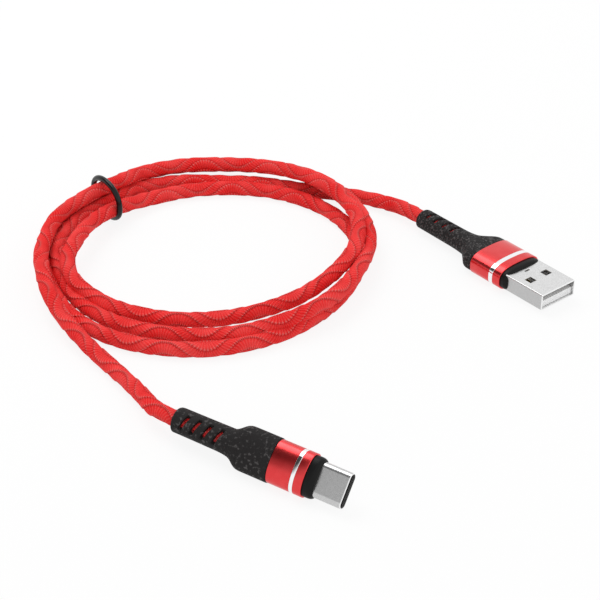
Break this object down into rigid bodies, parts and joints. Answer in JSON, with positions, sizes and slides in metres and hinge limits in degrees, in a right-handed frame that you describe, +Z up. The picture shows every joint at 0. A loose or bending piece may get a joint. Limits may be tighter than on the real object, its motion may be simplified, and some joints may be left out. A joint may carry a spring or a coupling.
{
  "type": "charging cable",
  "caption": "Braided charging cable with a wide charger plug and a small oval phone plug, wound into a coil held by a rubber ring.",
  "frame": {"origin": "on the table, under the middle of the box round both plugs and the rubber ring", "axes": "+Z up from the table; +X to the right and +Y away from someone who has the phone plug at the near edge"},
  "size_m": [0.1414, 0.1574, 0.0148],
  "materials": {
    "woven_jacket": "woven polyester, red",
    "tie_rubber": "smooth black",
    "boot_rubber": "matte black, mottled",
    "crimp_metal": "pressed tube",
    "wire_insulation": "wire insulation",
    "red_anodised": "satin, anodised red",
    "bright_ring": "polished",
    "core_plastic": "moulded",
    "board": "circuit board",
    "bezel_plastic": "satin black",
    "shell_steel": "nickel plated",
    "drawn_steel": "nickel plated, satin",
    "white_plastic": "white insulator",
    "liner_plastic": "black insulator",
    "contact_gold": "gold plated",
    "latch_steel": "spring steel",
    "resistor_body": "chip resistor"
  },
  "bodies": {
    "cable": {"cable_coil": "woven_jacket", "cable_tail_a": "woven_jacket", "cable_tail_c": "woven_jacket"},
    "charger_plug": {"usb_a_bezel": "bezel_plastic", "usb_a_boot": "boot_rubber", "usb_a_cable_end": "woven_jacket", "usb_a_circuit_board": "board", "usb_a_contacts": "contact_gold", "usb_a_crimp": "crimp_metal", "usb_a_inner_mould": "core_plastic", "usb_a_insulator": "white_plastic", "usb_a_shell": "shell_steel", "usb_a_sleeve": "red_anodised", "usb_a_trim_ring": "bright_ring", "usb_a_wires": "wire_insulation"},
    "phone_plug": {"usb_c_bezel": "bezel_plastic", "usb_c_boot": "boot_rubber", "usb_c_cable_end": "woven_jacket", "usb_c_circuit_board": "board", "usb_c_contacts_lower": "contact_gold", "usb_c_contacts_upper": "contact_gold", "usb_c_crimp": "crimp_metal", "usb_c_ground_springs": "latch_steel", "usb_c_inner_mould": "core_plastic", "usb_c_insulator": "liner_plastic", "usb_c_resistor": "resistor_body", "usb_c_shell": "drawn_steel", "usb_c_sleeve": "red_anodised", "usb_c_trim_ring": "bright_ring", "usb_c_wires": "wire_insulation"},
    "latch_left": {"usb_c_latch_left": "latch_steel"},
    "latch_right": {"usb_c_latch_right": "latch_steel"},
    "tie": {"coil_tie": "tie_rubber"}
  },
  "joints": [
    {"name": "charger_plug_swing", "type": "hinge", "parent": "cable", "child": "charger_plug", "pos_m": [0.02763, 0.05593, 0.00354], "axis": [0, 0, 1], "range_deg": [-25, 25], "deforming": ["cable_tail_a"]},
    {"name": "phone_plug_swing", "type": "hinge", "parent": "cable", "child": "phone_plug", "pos_m": [-0.03437, -0.03777, 0.0049], "axis": [0, 0, 1], "range_deg": [-25, 25], "deforming": ["cable_tail_c"]},
    {"name": "latch_left_flex", "type": "hinge", "parent": "phone_plug", "child": "latch_left", "pos_m": [0.00072, -0.05925, 0.00724], "axis": [-0.4306, -0.6336, 0.6428], "range_deg": [0, 3], "stiffness_Nm_per_rad": 0.01},
    {"name": "latch_right_flex", "type": "hinge", "parent": "phone_plug", "child": "latch_right", "pos_m": [-0.00148, -0.0625, 0.00256], "axis": [-0.4306, -0.6336, 0.6428], "range_deg": [-3, 0], "stiffness_Nm_per_rad": 0.01},
    {"name": "tie_slide", "type": "slide", "parent": "cable", "child": "tie", "axis": [0.7193, 0.6947, 0], "range_m": [-0.0015, 0.001]}
  ]
}
